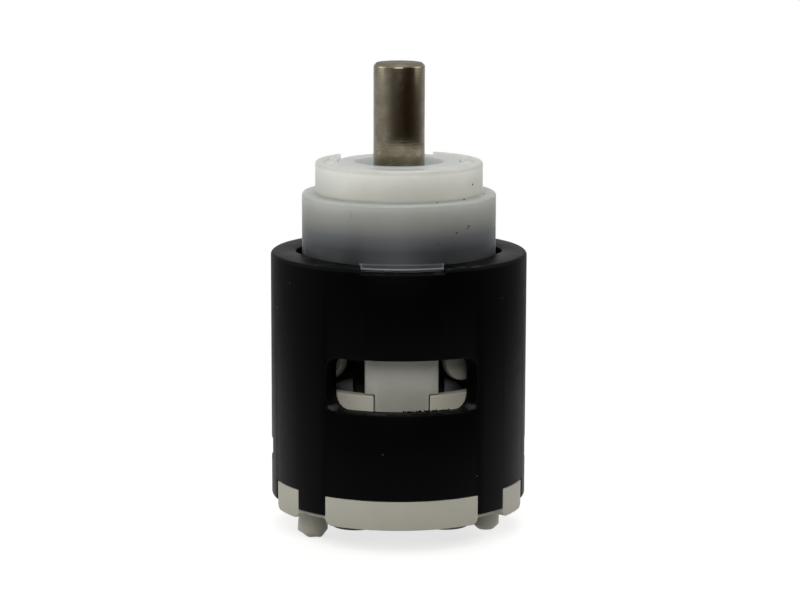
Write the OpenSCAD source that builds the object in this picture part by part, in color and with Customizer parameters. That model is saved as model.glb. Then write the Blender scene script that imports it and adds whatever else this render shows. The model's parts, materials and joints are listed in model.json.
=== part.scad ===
// Ceramic mixing cartridge for a single-lever faucet, worked by a small joystick stem.
// Frame: origin at the centre of the base's lower face, +Z up the stem, front at -Y.
// Azimuths are measured from the front, positive towards +X. All lengths in millimetres.

/* [Housing] */
// Outer diameter of the black housing
housing_d = 25; // [24:0.1:26.5]
// Thickness of the housing wall
housing_wall = 1.8; // [1.5:0.1:2]
// Height of the housing's feet above the base face
foot_z = 0.92; // [0.8:0.01:1.1]
// Height of the narrow neck that guides the collar
neck_h = 4; // [3:0.1:5]
// Distance from the lever pivot down to the housing's top edge
top_below_pivot = 6; // [5.4:0.1:7]
// Chamfer on the housing's outer edges
housing_edge = 0.2; // [0.1:0.05:0.4]
// Azimuth of each side wall of the windows
window_angle = 35.3; // [32:0.1:38]
// Height of the windows
window_h = 5.2; // [4.4:0.05:6]
// Depth of the window sill below the cup's rim
sill_drop = 1.35; // [0.8:0.05:2]
// Radius of the windows' upper corners
window_corner_top = 1.3; // [0.6:0.1:1.6]
// Radius of the windows' lower corners
window_corner_low = 1.6; // [0.6:0.1:2]

/* [Foot notches] */
// Azimuth where the front and back notches end
notch_angle = 36.2; // [34:0.1:40]
// Height of the notch tops above the base face
notch_z = 2.87; // [2.6:0.01:3.2]
// Azimuth where each side notch starts
side_from = 52.4; // [48:0.1:56]
// Azimuth where each side notch ends
side_to = 73; // [69:0.1:77]

/* [Latches] */
// Width of the latch windows at the sides
latch_w = 3.4; // [2.6:0.1:4.2]
// Height of the latch windows
latch_h = 1.9; // [1.5:0.1:2.4]
// Height of the barbs' lower face above the base face
latch_z = 4.6; // [4:0.1:5.2]

/* [Collar] */
// Wall between the ball and the outside of the upper tier
rim_wall = 1.65; // [1.5:0.05:1.9]
// Width of the step between the two tiers
step_w = 1.3; // [1:0.05:1.6]
// Height of the upper tier
rim_h = 3.05; // [2.6:0.05:3.4]
// Radius on the collar's outer edges
collar_edge = 0.25; // [0.1:0.05:0.4]
// Wall of the side skirts
skirt_wall = 1; // [0.8:0.05:1.2]
// Azimuth of the front edge of the right skirt
skirt_right = 27; // [23:0.5:30]
// Azimuth of the front edge of the left skirt
skirt_left = 37; // [30:0.5:40]
// Radius of the skirts' lower corners
skirt_corner = 2.2; // [1.4:0.1:2.6]
// Height of the skirts' lower edge above the cup's rim
skirt_lift = 1; // [0.4:0.1:1.2]
// Width of the front and back legs
leg_w = 7; // [6:0.1:7.6]
// Thickness of the legs
leg_t = 1.5; // [1.2:0.1:1.8]
// Width of the tongue at the foot of each leg
tongue_w = 5.15; // [4.4:0.05:5.6]
// Length of the tongue inside the cup's notch
tongue_h = 4; // [3:0.1:4.4]
// Width of the tab that keys the collar in the housing's top edge
tab_w = 7.84; // [7.7:0.02:9]
// Thickness of the tab at its outer lip
tab_lip = 0.35; // [0.25:0.05:0.5]
// Thickness of the tab at its root
tab_root = 1; // [0.7:0.1:1.4]
// Width of each snap finger
finger_w = 4.2; // [3.6:0.1:4.8]
// Width of the slits beside the snap fingers
slit_w = 0.25; // [0.2:0.05:0.4]
// Length of the slits above the housing's top edge
slit_over = 2.5; // [1.5:0.1:3]

/* [Rim details] */
// Left side of the slot at the back of the rim
slot_left = 5.6; // [4.8:0.1:5.8]
// Right side of the slot at the back of the rim
slot_right = 3.6; // [3:0.1:4.4]
// Depth of the slot
slot_depth = 0.9; // [0.5:0.1:1.2]
// Depth of the arc pockets at the sides of the rim
pocket_depth = 0.4; // [0.2:0.05:0.6]
// Half of the angle that each arc pocket spans
pocket_angle = 20; // [14:1:26]

/* [Lever] */
// Diameter of the stem
stem_d = 5; // [4.6:0.1:5.2]
// Diameter of the stem inside the ball
shank_d = 4.6; // [4.2:0.1:4.6]
// Height above the pivot where the stem reaches its full diameter
grip_low = 1.5; // [1.2:0.1:2]
// Length of the stem above the pivot
stem_up = 12.34; // [10:0.02:14]
// Chamfer at the stem's top
stem_edge = 0.3; // [0.2:0.05:0.5]
// Distance from the pivot to the centre of the ball tip
lever_len = 10.5; // [10:0.1:11.5]
// Diameter of the thin part of the stem
neck_d = 2.8; // [2.4:0.1:3]
// Diameter of the ball tip
tip_d = 4; // [3.6:0.1:4.2]
// Diameter of the cross pin
pin_d = 2; // [1.6:0.1:2.2]
// Diameter of the swivel ball
ball_d = 13; // [12.6:0.1:13.4]
// Height of the ball's flat top above the pivot
ball_cap = 2.8; // [2.6:0.05:3.2]
// Height of the ball's flat underside below the pivot
ball_foot = 5.2; // [4.8:0.1:5.4]
// Diameter of the dish around the stem
dish_d = 8.8; // [8:0.1:9.6]
// Diameter of the swivel ball's trunnions
trunnion_d = 2.4; // [2:0.1:2.6]
// Tilt of the stem from closed to fully open, in degrees
flow_angle = 13; // [10:0.5:14]
// Swing of the stem to each side, in degrees
mix_angle = 11; // [8:0.5:12]

/* [Ball seat] */
// Height of the ball seat ring
seat_h = 3.3; // [2.8:0.1:3.6]
// Diameter of the opening through the ball seat
seat_bore = 9.2; // [8.6:0.1:9.6]
// Height of the wave washer
wave_h = 1; // [0.8:0.05:1.2]
// Thickness of the wave washer's strip
wave_t = 0.4; // [0.3:0.05:0.5]
// Thickness of the retaining ring
clip_t = 0.8; // [0.6:0.05:1]
// Depth of the retaining ring's groove
clip_groove = 0.55; // [0.4:0.05:0.7]

/* [Discs] */
// Thickness of the fixed ceramic disc
fixed_t = 2.2; // [1.8:0.1:2.6]
// Thickness of the moving ceramic disc
moving_t = 2.2; // [1.8:0.1:2.6]
// Distance of the inlet ports from the middle plane
inlet_x = 2.3; // [2.1:0.05:2.5]
// Distance of the inlet ports in front of the axis
inlet_y = 1.7; // [1.5:0.05:1.9]
// Diameter of the inlet ports in the fixed disc
inlet_d = 2.2; // [1.8:0.1:2.4]
// Distance of the outlet port behind the axis
outlet_y = 3.4; // [3:0.1:3.8]
// Depth of the outlet port from front to back
outlet_d = 3; // [2.6:0.1:3.2]
// Extra width of the outlet port
outlet_w = 1.8; // [1.2:0.1:2.2]
// Closed land between the inlets and the mixing chamber
land = 0.3; // [0.2:0.05:0.4]
// Corner radius of the mixing chamber
chamber_corner = 1.2; // [0.8:0.1:1.4]
// Width of the keys that hold the discs
key_w = 2.4; // [1.8:0.1:2.8]
// Depth of the keys that hold the discs
key_depth = 0.6; // [0.4:0.05:0.7]

/* [Carrier and guide] */
// Thickness of the carrier's foot plate
plate_t = 2.4; // [2.2:0.1:2.8]
// Height of the mixing chamber inside the carrier
chamber_h = 1.6; // [1.2:0.1:1.8]
// Height of the ribbed waist above the foot plate
waist_h = 2.1; // [1.8:0.1:2.6]
// Diameter of the waist's core
waist_d = 6.6; // [6:0.1:7]
// Thickness of each rib of the waist
rib_t = 0.9; // [0.7:0.05:1.1]
// Number of ribs around the waist
rib_count = 8; // [4:1:10]
// Thickness of the flange that carries the guide ring
flange_t = 1.6; // [1.3:0.1:1.9]
// Thickness of the guide ring
guide_t = 2; // [1.6:0.1:2.4]
// Corner radius of the guide ring's slot
guide_corner = 2; // [1:0.1:2.2]
// Width of the carrier tower from front to back
tower_w = 6; // [5.6:0.1:6.2]
// Diameter of the carrier tower
tower_d = 6.6; // [6.4:0.1:6.8]
// Height of the tip's centre above the guide ring
tip_lift = 3.7; // [3.2:0.1:4.2]
// Height of the tower above the tip's centre
tower_over = 1.4; // [1:0.1:1.6]
// Depth of the tower's socket below the tip's centre
socket_depth = 2.6; // [2.3:0.1:3]

/* [Base] */
// Thickness of the base's floor
floor_t = 4.15; // [3.8:0.05:4.6]
// Wall of the cup that holds the discs
cup_wall = 1.3; // [1.1:0.05:1.5]
// Height of the cup's wall above the floor
cup_h = 8.4; // [8:0.05:9.2]
// Height of the blocks that fill the foot notches
block_h = 2.33; // [2:0.01:2.5]
// Rounding of the blocks' lower corners
block_corner = 0.7; // [0.3:0.1:0.9]
// Setback of the blocks from the housing's outside
block_back = 0.33; // [0.1:0.01:0.5]
// Thickness of the strip under the housing's feet
strip_t = 0.4; // [0.3:0.05:0.6]
// Setback of the strip from the housing's outside
strip_back = 0.5; // [0.3:0.05:0.8]
// Distance of the locating pegs from the middle plane
peg_x = 8.45; // [8:0.05:8.8]
// Distance of the locating pegs in front of the axis
peg_y = 4; // [3.6:0.1:4.4]
// Diameter of the right locating peg
peg_right_d = 2.6; // [2.2:0.1:2.8]
// Diameter of the left locating peg
peg_left_d = 2.8; // [2.4:0.1:3]
// Length of the right locating peg
peg_right_h = 2; // [1.6:0.1:2.6]
// Length of the left locating peg
peg_left_h = 2.7; // [2.2:0.1:3]

/* [Seals] */
// Height that the bottom seals stand proud of the base face
seal_proud = 1; // [0.7:0.05:1.2]
// Depth of the bottom seals' grooves
seal_deep = 1.2; // [1:0.1:1.5]
// Width of the bottom seals' rubber
seal_w = 0.9; // [0.7:0.05:0.95]
// Width of the inner seals' rubber
inner_seal_w = 0.9; // [0.7:0.05:1]
// Depth of the inner seals' grooves
inner_seal_deep = 1.1; // [0.9:0.1:1.3]
// Diameter of the inlet ports in the base face
port_d = 2.8; // [2.4:0.1:3]
// Depth of the outlet port in the base face from front to back
drain_d = 3.8; // [3.4:0.1:4]

/* [Fits] */
// Radial running clearance on the pins and trunnions
run_gap = 0.05; // [0.02:0.01:0.08]
// Clearance between sliding flats
slide_gap = 0.06; // [0.03:0.01:0.1]
// Radial clearance of the collar in the neck, and of other loose fits
fit_gap = 0.1; // [0.05:0.01:0.15]
// Clearance of the ball tip in its socket
tip_gap = 0.15; // [0.12:0.01:0.2]
// Clearance between parts that pass each other
pass_gap = 0.25; // [0.2:0.01:0.3]
// Height between faces that are pressed together
film_gap = 0.03; // [0.01:0.01:0.05]

/* [Hidden] */
$fn = 72;

// Overshoot of a cutting solid past the face that it cuts
over = 1;
// Joint between solids that are moulded in one
weld = 0.1;
// Turn between the points of a rounded corner
corner_turn = 15;

// Strokes of the discs, from the lever arm and its angles
stroke = lever_len * flow_angle * PI / 180;
mix_stroke = lever_len * mix_angle * PI / 180;

// Radii from the housing inwards
housing_r = housing_d / 2;
cavity_r = housing_r - housing_wall;
cup_gap = 0.4;
cup_r = cavity_r - cup_gap;
cup_in_r = cup_r - cup_wall;
fixed_r = cup_in_r - fit_gap;
moving_r = cup_in_r - norm([stroke / 2, mix_stroke]) - pass_gap;

// Radii from the ball outwards
ball_r = ball_d / 2;
ball_space = ball_r + fit_gap;
seat_ledge = 1;
bore_r = ball_space + seat_ledge;
rim_r = ball_r + rim_wall;
collar_r = rim_r + step_w;
neck_r = collar_r + fit_gap;
skirt_in_r = collar_r - skirt_wall;

// Seats in the collar for the swivel ball's trunnions, and what fits in them
trunnion_cover = 0.65;
seat_reach = rim_r - trunnion_cover;
trunnion_half = seat_reach - 1.5 * fit_gap;
trunnion_space = trunnion_d / 2 + run_gap;

// Gap between a block of the base and its notch, as an angle
block_turn = 0.7;

// Heights of the disc stack, from the floor up
fixed_z = floor_t + film_gap;
moving_z = fixed_z + fixed_t + film_gap;
carrier_z = moving_z + moving_t + film_gap;
waist_z = carrier_z + plate_t;
flange_z = waist_z + waist_h;
tower_z = flange_z + flange_t;
guide_z = tower_z + slide_gap;
tip_z = guide_z + guide_t + tip_lift;
pivot_z = tip_z + lever_len;
tower_top = tip_z + tower_over;

// Heights of the collar, the seat and the housing
seat_drop = 2.4;
collar_top = pivot_z + ball_cap;
step_z = collar_top - rim_h;
housing_top = pivot_z - top_below_pivot;
neck_z = housing_top - neck_h;
seat_top = pivot_z - seat_drop;
seat_low = seat_top - seat_h;
wave_low = seat_low - film_gap - wave_h;
clip_z = wave_low - film_gap - clip_t;
cup_top = floor_t + cup_h;
skirt_low = cup_top + skirt_lift;
flats_top = guide_z + guide_t + over;
ring_low = flats_top + over;
window_low = cup_top - sill_drop;
window_top = window_low + window_h;

// Collar legs and tabs
leg_gap = 0.5;
leg_out = cavity_r - leg_gap;
leg_in = leg_out - leg_t;
leg_low = cup_top + fit_gap;
tab_back = 1.25;
tab_r = housing_r - tab_back;
tab_step_r = (neck_r + tab_r) / 2;
key_gap = 0.03;

// Latch barbs, just inside the housing's outside
barb_back = 0.2;
barb_r = housing_r - barb_back;

// Half-moon recesses in the neck, which give the snap fingers room
recess_r = 4.2;
recess_h = 2.7;
recess_room = 0.62;

// Arc pockets in the rim
pocket_rim = 0.85;
pocket_w = 0.95;
pocket_out_r = rim_r - pocket_rim;
pocket_in_r = pocket_out_r - pocket_w;

// Carrier and guide ring
tower_r = tower_d / 2;
socket_r = tip_d / 2 + tip_gap;
free_r = min(skirt_in_r, leg_in) - pass_gap;
flange_r = min(bore_r - mix_stroke - pass_gap, free_r - norm([stroke, mix_stroke]), moving_r - stroke / 2);
flat_x = bore_r + fit_gap;
guide_x = min(flat_x - slide_gap, free_r);
guide_r = free_r;
guide_slot_x = tower_r + mix_stroke + pass_gap;
guide_slot_y = tower_w / 2 + slide_gap;

// Mixing chamber, in the place that it has with the stem closed
chamber_front = -inlet_y + inlet_d / 2 + land;
chamber_back = outlet_y + outlet_d / 2 + land;
chamber_x = mix_stroke + inlet_x - inlet_d / 2 - land;

// Silencer screen and its seat in the mouth of the chamber
screen_t = 0.4;
screen_rim = 0.35;
screen_seat = screen_t + 2 * film_gap;

// Rubber ring around the mouth of the chamber
mix_seal_in = 0.7;
mix_seal_h = 0.8;

// Length of each inlet slot, sideways and to the front
inlet_run_x = 1.3;
inlet_run_y = 2.6;
// Distance of the inlet slots from the disc's ports, and of the lower slots from the upper ones
inlet_near_x = 0.2;
inlet_near_y = 0.3;
inlet_drop_x = 0.55;
inlet_drop_y = 1.55;
// The same for the outlet slot
outlet_near_x = 0.1;
outlet_near_y = 0.2;
outlet_drop_x = 0.2;
outlet_drop_y = 1.2;

// Places of the passages through the base, for the right-hand side
inlet_top_in = [inlet_x + inlet_near_x, -inlet_y - inlet_near_y];
inlet_top_out = inlet_top_in + [inlet_run_x, -inlet_run_y];
inlet_low_in = inlet_top_in + [inlet_drop_x, -inlet_drop_y];
inlet_low_out = inlet_low_in + [inlet_run_x, -inlet_run_y];
outlet_top = [outlet_w / 2 + outlet_near_x, outlet_y + outlet_near_y];
outlet_low = outlet_top + [outlet_drop_x, outlet_drop_y];
passage_mid = floor_t / 2;

// Retaining ring
clip_out_r = bore_r + clip_groove - run_gap;
clip_w = 1.5;
clip_in_r = clip_out_r - clip_w;
clip_opening = 30;

// Sector of a ring between two azimuths
module sector(from, to, r_in, r_out, low, high) {
    rotate([0, 0, from - 90])
        rotate_extrude(angle = to - from)
            translate([r_in, low])
                square([r_out - r_in, high - low]);
}

// Quarter of a round corner, as azimuths and heights true to size on the radius r_ref
function round_corner(azimuth, height, corner, start, r_ref) = [
    for (turn = [start:corner_turn:start + 90])
        [azimuth + asin(corner / r_ref) * cos(turn), height + corner * sin(turn)]
];

// Outline with rounded corners, as azimuths and heights
function rounded_outline(half, low, high, corner_low, corner_high, r_ref) =
    let (turn_low = asin(corner_low / r_ref), turn_high = asin(corner_high / r_ref))
    concat(
        round_corner(half - turn_low, low + corner_low, corner_low, -90, r_ref),
        round_corner(half - turn_high, high - corner_high, corner_high, 0, r_ref),
        round_corner(turn_high - half, high - corner_high, corner_high, 90, r_ref),
        round_corner(turn_low - half, low + corner_low, corner_low, 180, r_ref)
    );

// Solid whose side walls all point at the Z axis, between two upright planes at the front
module radial_prism(outline, near, far) {
    count = len(outline);
    points = [
        for (depth = [near, far])
            for (p = outline) [depth * tan(p[0]), -depth, p[1]]
    ];
    faces = concat(
        [[for (i = [0:count - 1]) i]],
        [[for (i = [0:count - 1]) 2 * count - 1 - i]],
        [for (i = [0:count - 1]) [(i + 1) % count, i, count + (i + 1) % count]],
        [for (i = [0:count - 1]) [i, count + i, count + (i + 1) % count]]
    );
    polyhedron(points, faces, convexity = 4);
}

// Slot with round ends between two points, drawn flat
module slot_2d(p, q, r) {
    along = q - p;
    translate(p)
        rotate(atan2(along[1], along[0])) {
            circle(r);
            translate([0, -r]) square([norm(along), 2 * r]);
            translate([norm(along), 0]) circle(r);
        }
}

// Upright slot with round ends
module slot(p, q, r, low, high) {
    translate([0, 0, low])
        linear_extrude(high - low)
            slot_2d(p, q, r);
}

// Ring around a slot with round ends
module slot_ring(p, q, r_in, r_out, low, high) {
    translate([0, 0, low])
        linear_extrude(high - low)
            difference() {
                slot_2d(p, q, r_out);
                slot_2d(p, q, r_in);
            }
}

// Rectangle with round corners, as wide to the left as to the right
module rounded_2d(half, front, back, corner) {
    translate([-half, front + corner]) square([2 * half, back - front - 2 * corner]);
    translate([corner - half, front]) square([2 * (half - corner), back - front]);
    for (side = [-1, 1])
        for (y = [front + corner, back - corner])
            translate([side * (half - corner), y]) circle(corner);
}

// Outline of the mixing chamber, widened by a margin
module chamber_2d(margin) {
    rounded_2d(chamber_x + margin, chamber_front - margin, chamber_back + margin, chamber_corner + margin);
}

// Copies at the front and at the back
module front_and_back() {
    for (turn = [0, 180])
        rotate([0, 0, turn]) children();
}

// Copies at the right and at the left
module both_sides() {
    for (side = [0, 1])
        mirror([side, 0, 0]) children();
}

// Rounded outer edge that ends a tier of the collar
function tier_edge(r, top) = [
    for (turn = [0:2 * corner_turn:90])
        [r - collar_edge + collar_edge * cos(turn), top - collar_edge + collar_edge * sin(turn)]
];

module housing() {
    color("#1c1c1e")
    difference() {
        rotate_extrude()
            polygon([
                [cavity_r, foot_z], [cavity_r, neck_z], [neck_r, neck_z], [neck_r, housing_top],
                [housing_r - housing_edge, housing_top], [housing_r, housing_top - housing_edge],
                [housing_r, foot_z]
            ]);
        front_and_back() {
            radial_prism(
                rounded_outline(window_angle, window_low, window_top, window_corner_low, window_corner_top,
                    housing_r),
                cavity_r / 2, housing_r + over);
            sector(-notch_angle, notch_angle, cavity_r - over, housing_r + over, foot_z - over, notch_z);
            both_sides()
                sector(side_from, side_to, cavity_r - over, housing_r + over, foot_z - over, notch_z);
            // Key seat for the collar's tab, open to the outside, and the channel for its leg
            tab_space(tab_w / 2 + key_gap, key_gap, housing_r + over);
            translate([-leg_w / 2 - fit_gap, -leg_out - fit_gap, neck_z - over])
                cube([leg_w + 2 * fit_gap, leg_out, neck_h + 2 * over]);
        }
        both_sides() {
            translate([cavity_r - over, -latch_w / 2, latch_z])
                cube([housing_wall + 2 * over, latch_w, latch_h]);
            translate([collar_r + recess_room - recess_r, 0, housing_top - recess_h])
                cylinder(h = recess_h + over, r = recess_r);
        }
    }
}

// Space of the tab at the top edge, with a margin below and its lip out to a given radius
module tab_space(half, below, lip_r) {
    intersection() {
        union() {
            sector(-90, 90, bore_r, tab_step_r + below, housing_top - tab_root - below,
                housing_top + below);
            sector(-90, 90, bore_r, lip_r, housing_top - tab_lip - below, housing_top + below);
        }
        translate([-half, -housing_d, 0]) cube([2 * half, housing_d, housing_top + over]);
    }
}

module collar() {
    color("#dcded9")
    difference() {
        union() {
            collar_tube();
            front_and_back() collar_leg();
            both_sides() snap_hook();
        }
        translate([0, 0, pivot_z]) sphere(r = ball_space);
        trunnion_seats();
        // Groove of the retaining ring
        translate([0, 0, clip_z - run_gap])
            cylinder(h = clip_t + 2 * run_gap, r = bore_r + clip_groove);
        both_sides()
            for (side = [-1, 1])
                translate([bore_r - over, side * (finger_w + slit_w) / 2 - slit_w / 2, skirt_low - over])
                    cube([collar_r, slit_w, housing_top + slit_over - skirt_low + over]);
        // Slot at the back of the rim
        translate([-slot_left, over, collar_top - slot_depth])
            cube([slot_left + slot_right, rim_r, slot_depth + over]);
        both_sides()
            sector(90 - pocket_angle, 90 + pocket_angle, pocket_in_r, pocket_out_r,
                collar_top - pocket_depth, collar_top + over);
    }
}

// Stepped tube that ends below in two side skirts with rounded corners, flat inside for the guide ring
module collar_tube() {
    difference() {
        rotate_extrude()
            polygon(concat(
                [[0, skirt_low], [collar_r, skirt_low]],
                tier_edge(collar_r, step_z),
                [[rim_r, step_z]],
                tier_edge(rim_r, collar_top),
                [[0, collar_top]]
            ));
        translate([0, 0, ring_low - over]) cylinder(h = seat_top - ring_low + over, r = bore_r);
        intersection() {
            translate([0, 0, skirt_low - over]) cylinder(h = ring_low - skirt_low + over, r = skirt_in_r);
            translate([-flat_x, -collar_r, skirt_low - 2 * over])
                cube([2 * flat_x, 2 * collar_r, ring_low]);
        }
        for (turn = [0, 180])
            rotate([0, 0, turn]) {
                sector(-skirt_left, skirt_right, (bore_r + skirt_in_r) / 2, collar_r + over,
                    skirt_low - over, ring_low);
                rotate([0, 0, skirt_right]) skirt_corner_cut();
                rotate([0, 0, -skirt_left]) mirror([1, 0, 0]) skirt_corner_cut();
            }
    }
}

// Cut that rounds a lower corner of a skirt, with the skirt's edge at azimuth 0
module skirt_corner_cut() {
    turn = asin(skirt_corner / collar_r);
    arc = round_corner(turn, skirt_low + skirt_corner - film_gap, skirt_corner, 180, collar_r);
    outline = concat(
        [[-turn, skirt_low - over], [turn, skirt_low - over]],
        [for (i = [len(arc) - 1:-1:0]) arc[i]],
        [[-turn, skirt_low + skirt_corner]]
    );
    radial_prism(outline, bore_r / 2, collar_r + over);
}

// Leg with its tongue and its tab, at the front
module collar_leg() {
    intersection() {
        difference() {
            translate([0, 0, leg_low - tongue_h])
                cylinder(h = housing_top - leg_low + tongue_h, r = leg_out);
            translate([0, 0, leg_low - tongue_h - over])
                cylinder(h = housing_top, r = leg_in);
        }
        union() {
            translate([-leg_w / 2, -housing_r, leg_low])
                cube([leg_w, housing_r, housing_top - leg_low]);
            translate([-tongue_w / 2, -housing_r, leg_low - tongue_h])
                cube([tongue_w, housing_r, tongue_h + weld]);
        }
    }
    tab_space(tab_w / 2, 0, tab_r);
}

// Hook of a snap finger, under the housing's neck, wide enough for the slits to trim it
module snap_hook() {
    hook_r = (neck_r + cavity_r) / 2;
    hook_top = neck_z - fit_gap;
    hook_h = 2.2;
    hook_land = 0.8;
    half = asin(finger_w / collar_r);
    intersection() {
        rotate([0, 0, -half])
            rotate_extrude(angle = 2 * half)
                polygon([
                    [collar_r - weld, hook_top - hook_h], [collar_r, hook_top - hook_h],
                    [hook_r, hook_top - hook_land], [hook_r, hook_top], [collar_r - weld, hook_top]
                ]);
        translate([0, -(finger_w + slit_w) / 2, 0])
            cube([housing_r, finger_w + slit_w, housing_top]);
    }
}

// Seats of the ball's trunnions, open downwards for assembly
module trunnion_seats() {
    translate([0, 0, pivot_z])
        rotate([90, 0, 0]) cylinder(h = 2 * seat_reach, r = trunnion_space, center = true);
    translate([-trunnion_space, -seat_reach, seat_top - over])
        cube([2 * trunnion_space, 2 * seat_reach, pivot_z - seat_top + over]);
}

module ball_seat() {
    r = bore_r - fit_gap;
    post_in = ball_space + run_gap;
    post_out = seat_reach - fit_gap;
    post_top = pivot_z - trunnion_space;
    color("#c9ccc6")
    difference() {
        union() {
            translate([0, 0, seat_low]) cylinder(h = seat_h - film_gap, r = r);
            front_and_back()
                translate([-trunnion_d / 2, post_in - weld, seat_top - over])
                    cube([trunnion_d, post_out - post_in + weld, post_top - seat_top + over]);
        }
        translate([0, 0, pivot_z]) sphere(r = ball_space);
        translate([0, 0, seat_low - over]) cylinder(h = seat_h, d = seat_bore);
    }
}

// Wave washer that presses the seat against the ball
module wave_washer() {
    waves = 3;
    steps = 60;
    swing = (wave_h - wave_t) / 2;
    mid = wave_low + wave_h / 2;
    setback = 0.6;
    in_r = seat_bore / 2 + setback;
    out_r = bore_r - 2 * fit_gap;
    corners = [[in_r, -1], [out_r, -1], [out_r, 1], [in_r, 1]];
    points = [
        for (i = [0:steps - 1])
            for (c = corners)
                [c[0] * cos(360 * i / steps), c[0] * sin(360 * i / steps),
                 mid + swing * sin(360 * waves * i / steps) + c[1] * wave_t / 2]
    ];
    faces = [
        for (i = [0:steps - 1])
            let (here = 4 * i, there = 4 * ((i + 1) % steps))
            for (k = [0:3])
                [here + k, here + (k + 1) % 4, there + (k + 1) % 4, there + k]
    ];
    color("#b9bdc2") polyhedron(points, faces, convexity = 4);
}

module retaining_ring() {
    ear_r = 0.9;
    color("#9da2a8")
    difference() {
        union() {
            sector(clip_opening / 2 - 180, 180 - clip_opening / 2, clip_in_r, clip_out_r,
                clip_z, clip_z + clip_t);
            both_sides() clip_ear(ear_r);
        }
        both_sides() clip_ear(ear_r / 2);
    }
}

// Round ear at each end of the retaining ring
module clip_ear(r) {
    rotate([0, 0, 180 - clip_opening / 2])
        translate([0, -clip_in_r, clip_z]) cylinder(h = clip_t, r = r);
}

module swivel_ball() {
    stem_space = shank_d / 2 + fit_gap;
    neck_space = neck_d / 2 + pass_gap;
    chamber_low = 3.2;
    lean_wide = chamber_low * tan(flow_angle);
    lean_neck = (ball_foot + fit_gap) * tan(flow_angle);
    color("#cfd2cd")
    translate([0, 0, pivot_z])
    difference() {
        union() {
            intersection() {
                sphere(r = ball_r);
                translate([-ball_r, -ball_r, -ball_foot]) cube([ball_d, ball_d, ball_foot + ball_cap]);
            }
            rotate([90, 0, 0]) cylinder(h = 2 * trunnion_half, d = trunnion_d, center = true);
        }
        // Dish above the pivot, and the slots that let the stem lean
        cylinder(h = ball_cap + run_gap, r1 = stem_space, r2 = dish_d / 2);
        slot([0, -lean_wide], [0, 0], stem_space, -chamber_low, run_gap);
        slot([0, -lean_neck], [0, 0], neck_space, -ball_foot - over, run_gap);
        rotate([0, 90, 0]) cylinder(h = 2 * ball_d, d = pin_d + 2 * film_gap, center = true);
    }
}

module cross_pin() {
    setback = 0.6;
    half = ball_r - setback;
    edge = pin_d / 10;
    color("#b4b8bc")
    translate([0, 0, pivot_z])
        rotate([0, 90, 0])
            rotate_extrude()
                polygon([
                    [0, -half], [pin_d / 2 - edge, -half], [pin_d / 2, edge - half],
                    [pin_d / 2, half - edge], [pin_d / 2 - edge, half], [0, half]
                ]);
}

module stem() {
    r = stem_d / 2;
    shoulder = 1.8;
    taper = 1.1;
    color("#8c857b")
    translate([0, 0, pivot_z])
    difference() {
        union() {
            rotate_extrude()
                polygon([
                    [0, -lever_len], [neck_d / 2, -lever_len], [neck_d / 2, -shoulder - taper],
                    [shank_d / 2, -shoulder], [shank_d / 2, grip_low], [r, grip_low],
                    [r, stem_up - stem_edge], [r - stem_edge, stem_up], [0, stem_up]
                ]);
            translate([0, 0, -lever_len]) sphere(d = tip_d);
        }
        rotate([0, 90, 0]) cylinder(h = 2 * stem_d, d = pin_d + 2 * run_gap, center = true);
    }
}

// Guide ring that slides front to back between the skirts, and lets the carrier slide sideways
module guide_ring() {
    centre = stroke / 2;
    color("#6f7378")
    difference() {
        intersection() {
            translate([0, 0, guide_z]) cylinder(h = guide_t, r = guide_r);
            translate([0, stroke, guide_z]) cylinder(h = guide_t, r = guide_r);
            translate([-guide_x, centre - guide_r, guide_z]) cube([2 * guide_x, 2 * guide_r, guide_t]);
        }
        translate([0, 0, guide_z - over])
            linear_extrude(guide_t + 2 * over)
                rounded_2d(guide_slot_x, -guide_slot_y, guide_slot_y, guide_corner);
    }
}

module disc_carrier() {
    centre = stroke / 2;
    mouth_h = 0.5;
    mouth_w = 0.4;
    color("#7d8186")
    difference() {
        union() {
            translate([0, centre, carrier_z]) cylinder(h = plate_t, r = moving_r);
            translate([0, 0, waist_z - weld]) cylinder(h = waist_h + 2 * weld, d = waist_d);
            carrier_ribs();
            translate([0, 0, flange_z]) cylinder(h = flange_t, r = flange_r);
            intersection() {
                translate([0, 0, tower_z - weld]) cylinder(h = tower_top - tower_z + weld, r = tower_r);
                translate([-tower_r, -tower_w / 2, tower_z - weld])
                    cube([tower_d, tower_w, tower_top - tower_z + weld]);
            }
            // Keys that drive the moving disc
            both_sides()
                translate([moving_r - key_depth, centre - key_w / 2, carrier_z - moving_t / 2])
                    cube([key_depth - run_gap, key_w, moving_t / 2 + weld]);
        }
        translate([0, 0, carrier_z - over]) linear_extrude(chamber_h + over) chamber_2d(0);
        // Step that carries the silencer screen
        translate([0, 0, carrier_z - over]) linear_extrude(screen_seat + over) chamber_2d(screen_rim);
        translate([0, 0, carrier_z - over])
            linear_extrude(mix_seal_h + over)
                difference() {
                    chamber_2d(mix_seal_in + inner_seal_w + 2 * run_gap);
                    chamber_2d(mix_seal_in - run_gap);
                }
        translate([0, 0, tip_z - socket_depth])
            cylinder(h = tower_over + socket_depth + over, r = socket_r);
        translate([0, 0, tower_top - mouth_h])
            cylinder(h = mouth_h + run_gap, r1 = socket_r, r2 = socket_r + mouth_w);
    }
}

// Radial ribs that carry the flange
module carrier_ribs() {
    setback = 0.4;
    for (i = [0:rib_count - 1])
        rotate([0, 0, 360 * (i + 0.5) / rib_count])
            translate([0, -rib_t / 2, waist_z - weld])
                cube([flange_r - setback, rib_t, waist_h + 2 * weld]);
}

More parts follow.
